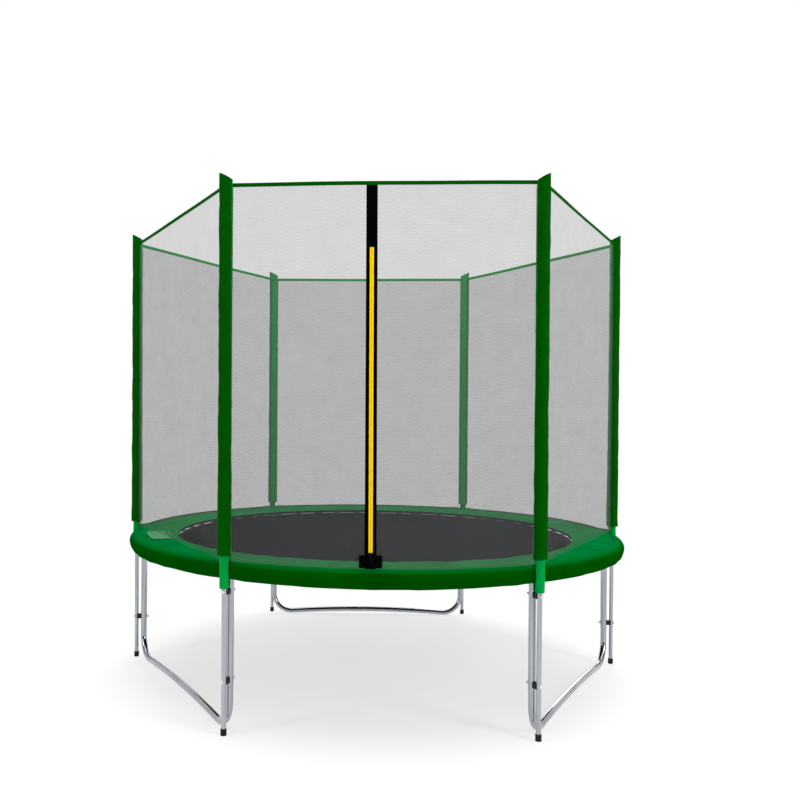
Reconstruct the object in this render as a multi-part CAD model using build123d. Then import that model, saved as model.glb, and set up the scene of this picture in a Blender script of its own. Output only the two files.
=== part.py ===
"""Round backyard trampoline, 2.5 m over the poles, with a safety net outside the jumping mat.

Millimetres, +Z up. The origin is on the ground under the centre of the mat. Six stations stand
60 degrees apart, counted counter-clockwise from +X, and the zipped entrance faces -Y.
"""
from build123d import *
from math import atan2, cos, degrees, radians, sin, sqrt, tan
import os

# stations
STATIONS = 6
STEP_ANGLE = 360 / STATIONS
BASE_ANGLES = (30 + 60, 30 + 180, 30 + 300)      # middle direction of each U-shaped leg base

# frame ring and legs
FRAME_R = 1212.5          # centre line of the ring and of the leg posts
FRAME_Z = 655
RAIL_R = 16               # tube radii
POST_R = 15.5
BASE_R = 15
WALL = 1.5
FIT = 0.3                 # radial play of one tube inside the next
SPIGOT = 60               # how far a reduced tube end goes into the next tube
RAIL_JOINT_ANGLE = 7.5    # each rail ends this far past its leg socket
SOCKET_BOTTOM = 558       # a post meets the socket here
POST_BOTTOM = 186         # a post meets the base here
BEND_R = 110              # bends of the leg base
ARCH_ANGLE = 3.8          # the base rises towards its middle by this slope

# enclosure poles
POLE_CIRCLE_R = 1250      # pole feet
POLE_LEAN = 0.405         # degrees outwards
POLE_R = 10
POLE_WALL = 1.2
POLE_FOOT = 3.3
POLE_SPLIT = 1130
POLE_TOP = 2200
FOAM_R = 19
FOAM_BOTTOM = 585
POCKET_R = 27.5
POCKET_WALL = 1.5
POCKET_BOTTOM = 720
POCKET_TOP = 2233         # height on the pocket's axis
POCKET_SLANT = 27         # degrees, the lid is higher on the side away from the YZ plane
CAP_R = 12.5
CAP_HEIGHT = 27
CAP_FLOOR = 3

# clamps
CLAMP_HEIGHTS = (214, 572)
BOLT_R = 4
BOLT_HOLE_R = 4.4
SPACER_WIDTH = 22
SPACER_HEIGHT = 24

# mat and springs
MAT_Z = 662
MAT_R = 984.7
BAND_R = 1012
BAND_THICK = 5
RING_COUNT = 48
RING_WIRE = 2
RING_BAR_R = 1020         # where the ring's base bar lies
RING_TIP_R = 1046
LOOP_WIDTH = 23           # webbing loops on the ring's straight bar
COIL_R = 11
COIL_FROM = 1060
COIL_TO = 1172
COIL_Z = 664
HOOK_WIRE = 1.6
HOOK_HOLE_R = 1203        # the hook drops into the rail at this radius
HOOK_Z = 673

# padded cover
PAD_INNER_R = 1009
PAD_OUTER_R = 1252
PAD_BOTTOM = 676
PAD_TOP = 696
SKIRT_THICK = 3
SKIRT_BOTTOM = 624
SKIRT_TOP = 692
NOTCH_R = 21.5            # the cover is scooped round each pole's foam

# net
NET_BOTTOM = 698.5
NET_TOP = 2191.7
NET_THICK = 2
NET_MIDDLE_BOTTOM = 1243  # the entrance side bows out over the cover
END_GAP = 0.5             # between a panel's end and the pole pocket
BORDER_HEIGHT = 16
BORDER_THICK = 4

# zip, at the front panel
ZIP_X = -48
TAPE_WIDTH = 45
TAPE_THICK = 2.4
TEETH_WIDTH = 16
TEETH_FROM = 745
TEETH_TO = 1947
FLAP_WIDTH = 88
FLAP_FROM = 703
FLAP_TO = 750
SLIDER_Z = 747
SLIDER_BACK = 2.7
SLIDER_FRONT = 5.2
BAIL_OUT = 9.4            # the pull hangs on a bar this far out
BAIL_Y = 10               # above the slider's middle


def rod(radius, z0, z1):
    return Pos(0, 0, z0) * Cylinder(radius, z1 - z0, align=(Align.CENTER, Align.CENTER, Align.MIN))


def tube(outer, inner, z0, z1):
    return rod(outer, z0, z1) - rod(inner, z0 - 1, z1 + 1)


def radial_rod(radius, x0, x1, z):
    return Pos(x0, 0, z) * Rot(0, 90, 0) * rod(radius, 0, x1 - x0)


def ring_piece(radius, start, arc):
    """A solid bar of round section along the frame ring."""
    section = Plane.XZ * Pos(FRAME_R, FRAME_Z) * Circle(radius)
    return Rot(0, 0, start) * revolve(section, Axis.Z, arc)


def around(shape, angles):
    return [Rot(0, 0, angle) * shape for angle in angles]


def save(name, *solids):
    export_step(solids[0] if len(solids) == 1 else Compound(list(solids)), f"parts/{name}.step")


def station_angles():
    return [STEP_ANGLE * i for i in range(STATIONS)]


def ring_angles():
    pitch = 360 / RING_COUNT
    return [pitch * (i + 0.5) for i in range(RING_COUNT)]


# ---------------------------------------------------------------- frame ring and legs
def frame_rail():
    """One sixth of the ring, with its leg socket and its reduced end."""
    start = RAIL_JOINT_ANGLE - STEP_ANGLE
    spigot_angle = degrees((SPIGOT - 10) / FRAME_R)
    end_r = RAIL_R - WALL - FIT
    rail = ring_piece(RAIL_R, start, STEP_ANGLE) - ring_piece(RAIL_R - WALL, start - 1, STEP_ANGLE - 2)
    rail += Pos(FRAME_R, 0, 0) * rod(POST_R, SOCKET_BOTTOM, FRAME_Z - 4)
    rail += ring_piece(end_r, RAIL_JOINT_ANGLE - 2, 2 + spigot_angle)
    rail -= ring_piece(end_r - WALL, RAIL_JOINT_ANGLE - 4, 5 + spigot_angle)
    rail -= Pos(FRAME_R, 0, 0) * rod(POST_R - WALL, SOCKET_BOTTOM - 1, FRAME_Z - RAIL_R - 4)
    rail -= radial_rod(BOLT_HOLE_R, FRAME_R - 30, FRAME_R + 30, CLAMP_HEIGHTS[1])
    for angle in ring_angles():
        local = angle if angle < 180 else angle - 360
        if start < local < RAIL_JOINT_ANGLE:
            rail -= Rot(0, 0, local) * Pos(HOOK_HOLE_R, 0, 0) * rod(3, FRAME_Z, FRAME_Z + 2 * RAIL_R)
    return rail


def leg_post():
    end_r = POST_R - WALL - FIT
    post = rod(POST_R, POST_BOTTOM, SOCKET_BOTTOM - FIT) + rod(end_r, SOCKET_BOTTOM - 1, SOCKET_BOTTOM + SPIGOT)
    post -= rod(POST_R - WALL, POST_BOTTOM - 1, SOCKET_BOTTOM - 8)
    post -= rod(end_r - WALL, SOCKET_BOTTOM - 9, SOCKET_BOTTOM + SPIGOT + 1)
    post = Pos(FRAME_R, 0, 0) * post
    for height in CLAMP_HEIGHTS:
        post -= radial_rod(BOLT_HOLE_R, FRAME_R - 30, FRAME_R + 30, height)
    return post


def base_path():
    """Centre line of the U in its own plane: X along the ground, Y up."""
    half = FRAME_R * sin(radians(STEP_ANGLE / 2))
    low = half - BEND_R
    slope = radians(ARCH_ANGLE)
    turn = radians(45)
    bend_end = (low - BEND_R * sin(slope), BASE_R + BEND_R * (1 - cos(slope)))
    bend_middle = (low + BEND_R * cos(turn), BASE_R + BEND_R * (1 - sin(turn)))
    top = (half, POST_BOTTOM - FIT)
    bend_start = (half, BASE_R + BEND_R)
    rise = bend_end[0] * tan(slope / 2)
    arch_top = (0, bend_end[1] + rise)

    def mirrored(point):
        return (-point[0], point[1])

    return Wire([
        Line(top, bend_start),
        ThreePointArc(bend_start, bend_middle, bend_end),
        ThreePointArc(bend_end, arch_top, mirrored(bend_end)),
        ThreePointArc(mirrored(bend_end), mirrored(bend_middle), mirrored(bend_start)),
        Line(mirrored(bend_start), mirrored(top)),
    ])


def leg_base():
    """U-shaped foot between two neighbouring posts, its middle direction along +X."""
    half = FRAME_R * sin(radians(STEP_ANGLE / 2))
    distance = FRAME_R * cos(radians(STEP_ANGLE / 2))
    upright = Plane(origin=(distance, 0, 0), x_dir=(0, 1, 0), z_dir=(1, 0, 0))
    path = upright * base_path()
    start = Plane(origin=path @ 0, z_dir=path % 0)
    end_r = POST_R - WALL - FIT
    base = sweep(start * Circle(BASE_R), path)
    ends = [Pos(distance, side * half, 0) for side in (-1, 1)]
    for end in ends:
        base += end * rod(end_r, POST_BOTTOM - 6, POST_BOTTOM + SPIGOT)
    base -= sweep(start * Circle(BASE_R - WALL - 1.5), path)
    for end in ends:
        base -= end * rod(BASE_R - WALL - 1.5, POST_BOTTOM - 10, POST_BOTTOM + SPIGOT + 1)
    for side in (-1, 1):
        hole = radial_rod(BOLT_HOLE_R, FRAME_R - 30, FRAME_R + 30, CLAMP_HEIGHTS[0])
        base -= Rot(0, 0, side * STEP_ANGLE / 2) * hole
    return base


# ---------------------------------------------------------------- poles, foam, pockets, caps
def on_pole(shape):
    """Puts a shape built along Z onto the leaning pole of the station at +X."""
    return Pos(POLE_CIRCLE_R, 0, 0) * Rot(0, POLE_LEAN, 0) * shape


def pole_radius_at(z):
    return POLE_CIRCLE_R + z * tan(radians(POLE_LEAN))


def pole_lower():
    pole = on_pole(tube(POLE_R, POLE_R - POLE_WALL, POLE_FOOT, POLE_SPLIT))
    for height in CLAMP_HEIGHTS:
        pole -= radial_rod(BOLT_HOLE_R, POLE_CIRCLE_R - 15, POLE_CIRCLE_R + 25, height)
    return pole


def pole_upper():
    end_r = POLE_R - POLE_WALL - FIT
    pole = rod(POLE_R, POLE_SPLIT + FIT, POLE_TOP) + rod(end_r, POLE_SPLIT - SPIGOT, POLE_SPLIT + 5)
    pole -= rod(end_r - POLE_WALL, POLE_SPLIT - SPIGOT - 1, POLE_SPLIT + 6)
    pole -= rod(POLE_R - POLE_WALL, POLE_SPLIT + 6, POLE_TOP + 1)
    return on_pole(pole)


def foam_sleeve():
    sleeve = rod(FOAM_R, FOAM_BOTTOM, POLE_TOP - 30)
    sleeve = chamfer(sleeve.edges().group_by(Axis.Z)[0], 4)
    return on_pole(sleeve - rod(POLE_R + FIT, FOAM_BOTTOM - 1, POLE_TOP))


def pole_pocket(angle):
    """Fabric tube over the pole of the station at this angle, closed by a slanted lid."""
    high_side = (0 if cos(radians(angle)) > 0 else 180) - angle

    def slanted(radius, top):
        cut = Plane.XY.offset(top).rotated((0, -POCKET_SLANT, 0))
        return split(rod(radius, POCKET_BOTTOM, top + 2 * POCKET_R), cut, keep=Keep.BOTTOM)

    inner = slanted(POCKET_R - POCKET_WALL, POCKET_TOP - POCKET_WALL * 1.2)
    inner += rod(POCKET_R - POCKET_WALL, POCKET_BOTTOM - 1, POCKET_BOTTOM + 1)
    return Rot(0, 0, angle) * on_pole(Rot(0, 0, high_side) * (slanted(POCKET_R, POCKET_TOP) - inner))


def pole_top_cap():
    stem = rod(POLE_R - POLE_WALL - FIT, POLE_TOP - 16, POLE_TOP + FIT)
    head = rod(POLE_R + 1.5, POLE_TOP + FIT, POLE_TOP + 6)
    head = fillet(head.edges().group_by(Axis.Z)[-1], 3)
    return on_pole(stem + head)


def foot_cap():
    cap = rod(CAP_R, 0, CAP_HEIGHT) - rod(POLE_R + FIT, CAP_FLOOR, CAP_HEIGHT + 1)
    cap = chamfer(cap.edges().group_by(Axis.Z)[0], 1)
    return Pos(POLE_CIRCLE_R, 0, 0) * cap


# ---------------------------------------------------------------- clamps
def clamp_spacer(z):
    """Plastic block with a saddle for the post and one for the pole."""
    middle = (FRAME_R + POLE_CIRCLE_R) / 2
    block = Pos(middle + 4, 0, z) * Box(28, SPACER_WIDTH, SPACER_HEIGHT)
    block = fillet(block.edges().filter_by(Axis.X), 3)
    block -= Pos(FRAME_R, 0, 0) * rod(POST_R + FIT, z - 50, z + 50)
    block -= on_pole(rod(POLE_R + FIT, z - 50, z + 50))
    keep_to = pole_radius_at(z) - 3
    block -= Pos(keep_to + 25, 0, z) * Box(50, 60, 60)
    return block - radial_rod(BOLT_HOLE_R, FRAME_R, POLE_CIRCLE_R + 30, z)


def clamp_bolt(z):
    """Dome-headed bolt from outside the pole to inside the post."""
    outer = pole_radius_at(z) + POLE_R + FIT
    head = radial_rod(8, outer, outer + 4.5, z)
    head = fillet(head.edges().group_by(Axis.X)[-1], 3.5)
    return head + radial_rod(BOLT_R, FRAME_R - POST_R - 14, outer + 1, z)


def clamp_nut(z):
    inner = FRAME_R - POST_R - 0.5
    nut = Pos(inner, 0, z) * Rot(0, -90, 0) * extrude(RegularPolygon(7.5, 6), 6.5)
    washer = radial_rod(8.5, inner - 0.01, inner + 0.2, z)
    return nut + washer - radial_rod(BOLT_R + 0.1, inner - 20, inner + 20, z)


# ---------------------------------------------------------------- mat, rings, springs
def mat_loop():
    loop = Pos((BAND_R + RING_BAR_R + 6) / 2, 0, MAT_Z) * Box(RING_BAR_R + 6 - BAND_R - 0.6, LOOP_WIDTH, 8)
    loop = fillet(loop.edges().filter_by(Axis.Y), 3)
    return loop - Pos(RING_BAR_R, 0, MAT_Z) * Rot(90, 0, 0) * Cylinder(RING_WIRE + 0.5, 50)


def v_ring():
    corners = [(RING_BAR_R, -21), (RING_TIP_R, -6), (RING_TIP_R, 6), (RING_BAR_R, 21)]
    path = Pos(0, 0, MAT_Z) * FilletPolyline(*corners, radius=5, close=True)
    return sweep(Plane(origin=path @ 0, z_dir=path % 0) * Circle(RING_WIRE), path)


def spring():
    """Coil envelope with its two hooks, the outer one dropping into the rail."""
    coil = Pos(COIL_FROM, 0, COIL_Z) * Rot(0, 90, 0) * rod(COIL_R, 0, COIL_TO - COIL_FROM)
    reach = RING_WIRE + HOOK_WIRE + 0.6
    inner = Wire([
        Line((COIL_FROM + 3, 0, MAT_Z + reach), (RING_TIP_R, 0, MAT_Z + reach)),
        ThreePointArc((RING_TIP_R, 0, MAT_Z + reach), (RING_TIP_R - reach, 0, MAT_Z),
                      (RING_TIP_R, 0, MAT_Z - reach)),
    ])
    bend = 4
    turn = bend * sqrt(0.5)
    corner = (HOOK_HOLE_R - bend, 0, HOOK_Z)
    middle = (HOOK_HOLE_R - bend + turn, 0, HOOK_Z - bend + turn)
    outer = Wire([
        Line((COIL_TO - 3, 0, HOOK_Z), corner),
        ThreePointArc(corner, middle, (HOOK_HOLE_R, 0, HOOK_Z - bend)),
        Line((HOOK_HOLE_R, 0, HOOK_Z - bend), (HOOK_HOLE_R, 0, HOOK_Z - 12)),
    ])
    body = coil
    for path in (inner, outer):
        body += sweep(Plane(origin=path @ 0, z_dir=path % 0) * Circle(HOOK_WIRE), path)
    return body


# ---------------------------------------------------------------- padded cover
def cover_outline(radius, notch):
    face = Circle(radius)
    for angle in station_angles():
        face -= Rot(0, 0, angle) * Pos(pole_radius_at(PAD_BOTTOM), 0) * Circle(notch)
    return face


def frame_pad():
    inset = SKIRT_THICK + 0.5
    face = cover_outline(PAD_OUTER_R - inset, NOTCH_R + inset) - Circle(PAD_INNER_R)
    return Pos(0, 0, PAD_BOTTOM) * extrude(face, PAD_TOP - PAD_BOTTOM)


def pad_skirt():
    face = cover_outline(PAD_OUTER_R, NOTCH_R) - cover_outline(PAD_OUTER_R - SKIRT_THICK, NOTCH_R + SKIRT_THICK)
    return Pos(0, 0, SKIRT_BOTTOM) * extrude(face, SKIRT_TOP - SKIRT_BOTTOM)


def pad_tie():
    """Strap round the frame tube that holds the cover down."""
    strap = Pos(FRAME_R, 0, FRAME_Z) * Rot(90, 0, 0) * Cylinder(RAIL_R + 1.9, 20)
    return strap - ring_piece(RAIL_R + 0.4, -2, 4)


# ---------------------------------------------------------------- net
def panel_point(middle, along, out, z):
    """A point beside a panel: along it, outwards from the centre, and up."""
    angle = radians(middle)
    return (out * cos(angle) - along * sin(angle), out * sin(angle) + along * cos(angle), z)


def pole_line_out(z):
    """How far out the straight line between two neighbouring poles is."""
    return pole_radius_at(z) * cos(radians(STEP_ANGLE / 2))


def half_span(z):
    """Half the width of a panel between two pole pockets."""
    return pole_radius_at(z) * sin(radians(STEP_ANGLE / 2)) - POCKET_R - END_GAP


def net_out(along, z):
    """How far out the entrance side's outer surface is: an arc at the bottom, straight at the top."""
    half = pole_radius_at(NET_BOTTOM) * sin(radians(STEP_ANGLE / 2))
    bulge = NET_MIDDLE_BOTTOM - pole_line_out(NET_BOTTOM)
    arc_r = (half ** 2 + bulge ** 2) / (2 * bulge)
    bottom = NET_MIDDLE_BOTTOM - arc_r + sqrt(arc_r ** 2 - along ** 2)
    return bottom + (pole_line_out(NET_TOP) - bottom) * (z - NET_BOTTOM) / (NET_TOP - NET_BOTTOM)


def flat_panel(middle):
    """A side of the net that hangs straight between its two poles."""
    def section(z):
        half = half_span(z)
        corners = ((-half, 0), (half, 0), (half, NET_THICK), (-half, NET_THICK))
        points = [panel_point(middle, along, pole_line_out(z) - inset, z) for along, inset in corners]
        return Wire(Polyline(*points, close=True).edges())

    return Solid.make_loft([section(NET_BOTTOM), section(NET_TOP)], ruled=True)


def bowed_panel(bottom_span, top_span):
    """A piece of the entrance side, ruled between the bottom arc and the top line."""
    def section(span, z):
        def point(along, inset):
            return panel_point(270, along, net_out(along, z) - inset, z)

        a, b = span
        c = (a + b) / 2
        if z == NET_TOP:
            outer = Line(point(a, 0), point(b, 0))
            inner = Line(point(b, NET_THICK), point(a, NET_THICK))
        else:
            outer = ThreePointArc(point(a, 0), point(c, 0), point(b, 0))
            inner = ThreePointArc(point(b, NET_THICK), point(c, NET_THICK), point(a, NET_THICK))
        return Wire([outer, Line(outer @ 1, inner @ 0), inner, Line(inner @ 1, outer @ 0)])

    return Solid.make_loft([section(bottom_span, NET_BOTTOM), section(top_span, NET_TOP)], ruled=True)


def border_bar(middle):
    """Hem band along the top of one side, between two pockets."""
    z = NET_TOP + 0.3 + BORDER_HEIGHT / 2
    bar = Box(BORDER_THICK, 2 * half_span(z), BORDER_HEIGHT)
    return Rot(0, 0, middle) * Pos(pole_line_out(z) - NET_THICK / 2, 0, z) * bar


# ---------------------------------------------------------------- zip
def zip_frame():
    """Local frame on the net: X to the right, Y up along the net, Z outwards. Its origin is at the net's bottom."""
    low = net_out(ZIP_X, NET_BOTTOM)
    high = net_out(ZIP_X, NET_TOP)
    rise = degrees(atan2(low - high, NET_TOP - NET_BOTTOM))
    return Pos(ZIP_X, -low, NET_BOTTOM) * Rot(90 - rise, 0, 0)


def along_net(z):
    rise = atan2(net_out(ZIP_X, NET_BOTTOM) - net_out(ZIP_X, NET_TOP), NET_TOP - NET_BOTTOM)
    return (z - NET_BOTTOM) / cos(rise)


def strip(width, z0, z1, out0, out1):
    """A flat strip on the zip's local frame."""
    y0 = along_net(z0)
    y1 = along_net(z1)
    return Pos(0, (y0 + y1) / 2, (out0 + out1) / 2) * Box(width, y1 - y0, out1 - out0)


def zip_tape():
    return zip_frame() * strip(TAPE_WIDTH, NET_BOTTOM, NET_TOP, -TAPE_THICK, 0)


def zip_teeth():
    return zip_frame() * strip(TEETH_WIDTH, TEETH_FROM, TEETH_TO, 0.4, 2.4)


def entrance_flap():
    plate = strip(FLAP_WIDTH, FLAP_FROM, FLAP_TO, 5.6, 7.6)
    for side in (-1, 1):
        plate += Pos(side * (FLAP_WIDTH / 2 - 1.5), 0, 0) * strip(3, FLAP_FROM, FLAP_TO, 1.4, 6)
    return zip_frame() * plate


def zip_slider():
    y = along_net(SLIDER_Z)
    body = Pos(0, y, (SLIDER_BACK + SLIDER_FRONT) / 2) * Box(18, 24, SLIDER_FRONT - SLIDER_BACK)
    body = fillet(body.edges().filter_by(Axis.Z), 4)
    for side in (-1, 1):
        ear = Pos(side * 6, y + BAIL_Y, (SLIDER_FRONT + BAIL_OUT) / 2) * Box(2, 3, BAIL_OUT - SLIDER_FRONT + 2)
        body += ear
    body += Pos(0, y + BAIL_Y, BAIL_OUT) * Rot(0, 90, 0) * Cylinder(1, 13)
    return zip_frame() * body


def zip_pull():
    y = along_net(SLIDER_Z) + BAIL_Y
    plate = Pos(0, y - 18, BAIL_OUT) * Box(9, 41, 1.6)
    plate = fillet(plate.edges().filter_by(Axis.Z), 3)
    eye = Pos(0, y, BAIL_OUT) * Rot(0, 90, 0) * Cylinder(2.4, 9)
    hole = Pos(0, y, BAIL_OUT) * Rot(0, 90, 0) * Cylinder(1.35, 20)
    return zip_frame() * (plate + eye - hole)


# ---------------------------------------------------------------- all parts
def main():
    os.makedirs("parts", exist_ok=True)
    stations = station_angles()
    each_station = {
        "frame_rail": frame_rail(),
        "leg_post": leg_post(),
        "pole_lower": pole_lower(),
        "pole_upper": pole_upper(),
    }
    for name, shape in each_station.items():
        for number, copy in enumerate(around(shape, stations), 1):
            save(f"{name}_{number}", copy)
    for number, angle in enumerate(stations, 1):
        save(f"pole_pocket_{number}", pole_pocket(angle))
    for number, copy in enumerate(around(leg_base(), BASE_ANGLES), 1):
        save(f"leg_base_{number}", copy)

    save("foam_sleeves", *around(foam_sleeve(), stations))
    save("pole_top_caps", *around(pole_top_cap(), stations))
    save("foot_caps", *around(foot_cap(), stations))
    for name, make in (("clamp_spacers", clamp_spacer), ("clamp_bolts", clamp_bolt), ("clamp_nuts", clamp_nut)):
        pieces = [piece for z in CLAMP_HEIGHTS for piece in around(make(z), stations)]
        save(name, *pieces)

    save("jump_mat", rod(MAT_R, MAT_Z - 1, MAT_Z + 1))
    save("mat_edge_band", tube(BAND_R, MAT_R + FIT, MAT_Z - BAND_THICK / 2, MAT_Z + BAND_THICK / 2))
    save("mat_loops", *around(mat_loop(), ring_angles()))
    save("v_rings", *around(v_ring(), ring_angles()))
    save("springs", *around(spring(), ring_angles()))

    save("frame_pad", frame_pad())
    save("pad_skirt", pad_skirt())
    save("pad_ties", *around(pad_tie(), [angle + side for angle in stations for side in (15, 45)]))

    for number, middle in enumerate((30, 90, 150, 210, 330), 1):
        save(f"net_panel_{number}", flat_panel(middle))
    bottom = half_span(NET_BOTTOM)
    top = half_span(NET_TOP)
    tape_left = ZIP_X - TAPE_WIDTH / 2 - 1
    tape_right = ZIP_X + TAPE_WIDTH / 2 + 1
    save("net_front_left", bowed_panel((-bottom, tape_left), (-top, tape_left)))
    save("net_front_right", bowed_panel((tape_right, bottom), (tape_right, top)))
    save("net_border", *[border_bar(angle + STEP_ANGLE / 2) for angle in stations])

    save("zip_tape", zip_tape())
    save("zip_teeth", zip_teeth())
    save("zip_slider", zip_slider())
    save("zip_pull", zip_pull())
    save("entrance_flap", entrance_flap())


main()
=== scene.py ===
"""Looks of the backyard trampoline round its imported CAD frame. Metres, +Z up, entrance towards -Y."""

import math

import bmesh
import bpy
import numpy as np
from mathutils import Matrix, Vector


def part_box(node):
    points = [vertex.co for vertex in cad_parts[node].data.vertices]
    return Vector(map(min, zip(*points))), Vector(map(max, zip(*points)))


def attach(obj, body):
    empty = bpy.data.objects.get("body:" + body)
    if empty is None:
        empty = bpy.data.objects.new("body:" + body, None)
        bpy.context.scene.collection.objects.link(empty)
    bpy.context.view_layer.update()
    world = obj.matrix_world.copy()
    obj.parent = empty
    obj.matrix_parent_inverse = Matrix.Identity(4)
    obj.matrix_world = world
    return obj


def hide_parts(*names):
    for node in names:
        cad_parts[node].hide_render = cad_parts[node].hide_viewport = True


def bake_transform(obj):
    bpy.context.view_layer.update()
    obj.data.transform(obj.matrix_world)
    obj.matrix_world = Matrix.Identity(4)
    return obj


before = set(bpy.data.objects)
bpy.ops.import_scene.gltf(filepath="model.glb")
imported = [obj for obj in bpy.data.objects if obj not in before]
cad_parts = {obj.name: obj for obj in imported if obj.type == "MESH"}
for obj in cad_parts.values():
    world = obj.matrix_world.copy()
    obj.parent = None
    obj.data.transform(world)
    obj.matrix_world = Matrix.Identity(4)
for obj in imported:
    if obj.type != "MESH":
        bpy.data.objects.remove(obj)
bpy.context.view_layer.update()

# ---------------------------------------------------------------- sizes, as in the CAD source
STATIONS = 6
STEP = 60.0
FRAME_R = 1.2125
FRAME_Z = 0.655
RAIL_R = 0.016
POLE_FOOT_R = 1.250
POLE_LEAN = math.radians(0.405)
POLE_R = 0.010
FOAM_R = 0.019
FOAM_TOP = 2.170
POCKET_R = 0.0275
POCKET_TOP = 2.233
POCKET_SLANT = math.radians(27)
NOTCH_R = 0.0215
PAD_INNER = 1.009
ENTRANCE = 270            # direction of the side with the zip
NET_MIDDLE_BOTTOM = 1.243
HEM_RISE = (-0.003, 0.0, -0.004, -0.006, -0.001, 0.012)      # of the net's hem at each pole
HEM_BOW = 0.004           # of the hem in the middle of the entrance side
HEM_SAG = -0.002          # and in the middle of the other sides
NET_THICK = 0.002
ZIP_X = -0.048
TAPE_WIDTH = 0.045
TEETH_WIDTH = 0.016
TEETH_FROM = 0.745
TEETH_TO = 1.947
FLAP_WIDTH = 0.088
FLAP_FROM = 0.703
FLAP_TO = 0.750
MAT_R = 0.9847
RING_BAR_R = 1.020
RING_TIP_R = 1.046
RING_WIRE = 0.002
COIL_R = 0.011
COIL_FROM = 1.060
COIL_TO = 1.172
COIL_Z = 0.664
HOOK_WIRE = 0.0016
HOOK_HOLE_R = 1.203
HOOK_Z = 0.673
SECTORS = 24
SPRINGS_PER_SECTOR = 2


def low(node):
    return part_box(node)[0]


def high(node):
    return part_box(node)[1]


PAD_OUTER = high("pad_skirt").y
PAD_LOW, PAD_HIGH = low("frame_pad").z, high("frame_pad").z
SKIRT_LOW = low("pad_skirt").z
NET_LOW, NET_HIGH = low("net_panel_1").z, high("net_panel_1").z
POCKET_LOW = low("pole_pocket_1").z
FOAM_LOW = low("foam_sleeves").z
BORDER_LOW, BORDER_HIGH = low("net_border").z, high("net_border").z
HEM_Z = (BORDER_LOW + BORDER_HIGH) / 2
MAT_Z = (low("jump_mat").z + high("jump_mat").z) / 2
BAND_R = high("mat_edge_band").x
BAND_THICK = high("mat_edge_band").z - low("mat_edge_band").z


# ---------------------------------------------------------------- small helpers
def smooth(x, a, b):
    t = np.clip((np.asarray(x, float) - a) / (b - a), 0, 1)
    return t * t * (3 - 2 * t)


def ripple(x, y, wavelength, seed, waves=9):
    """Smooth irregular waves of about that wavelength, from -1 to 1 or so."""
    rng = np.random.RandomState(seed)
    total = np.zeros(np.broadcast(x, y).shape)
    for _ in range(waves):
        angle = rng.uniform(0, 2 * math.pi)
        k = 2 * math.pi / (wavelength * rng.uniform(0.6, 1.7))
        total = total + np.sin(k * (x * math.cos(angle) + y * math.sin(angle)) + rng.uniform(0, 2 * math.pi))
    return total / math.sqrt(waves)


def turned(points, degrees_round):
    a = math.radians(degrees_round)
    out = np.array(points, float)
    x, y = out[..., 0].copy(), out[..., 1].copy()
    out[..., 0] = x * math.cos(a) - y * math.sin(a)
    out[..., 1] = x * math.sin(a) + y * math.cos(a)
    return out


def leaning(points):
    """Points about the Z axis are put on the leaning pole of the station at +X."""
    out = np.array(points, float)
    x, z = out[..., 0].copy(), out[..., 2].copy()
    out[..., 0] = POLE_FOOT_R + x * math.cos(POLE_LEAN) + z * math.sin(POLE_LEAN)
    out[..., 2] = z * math.cos(POLE_LEAN) - x * math.sin(POLE_LEAN)
    return out


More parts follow.
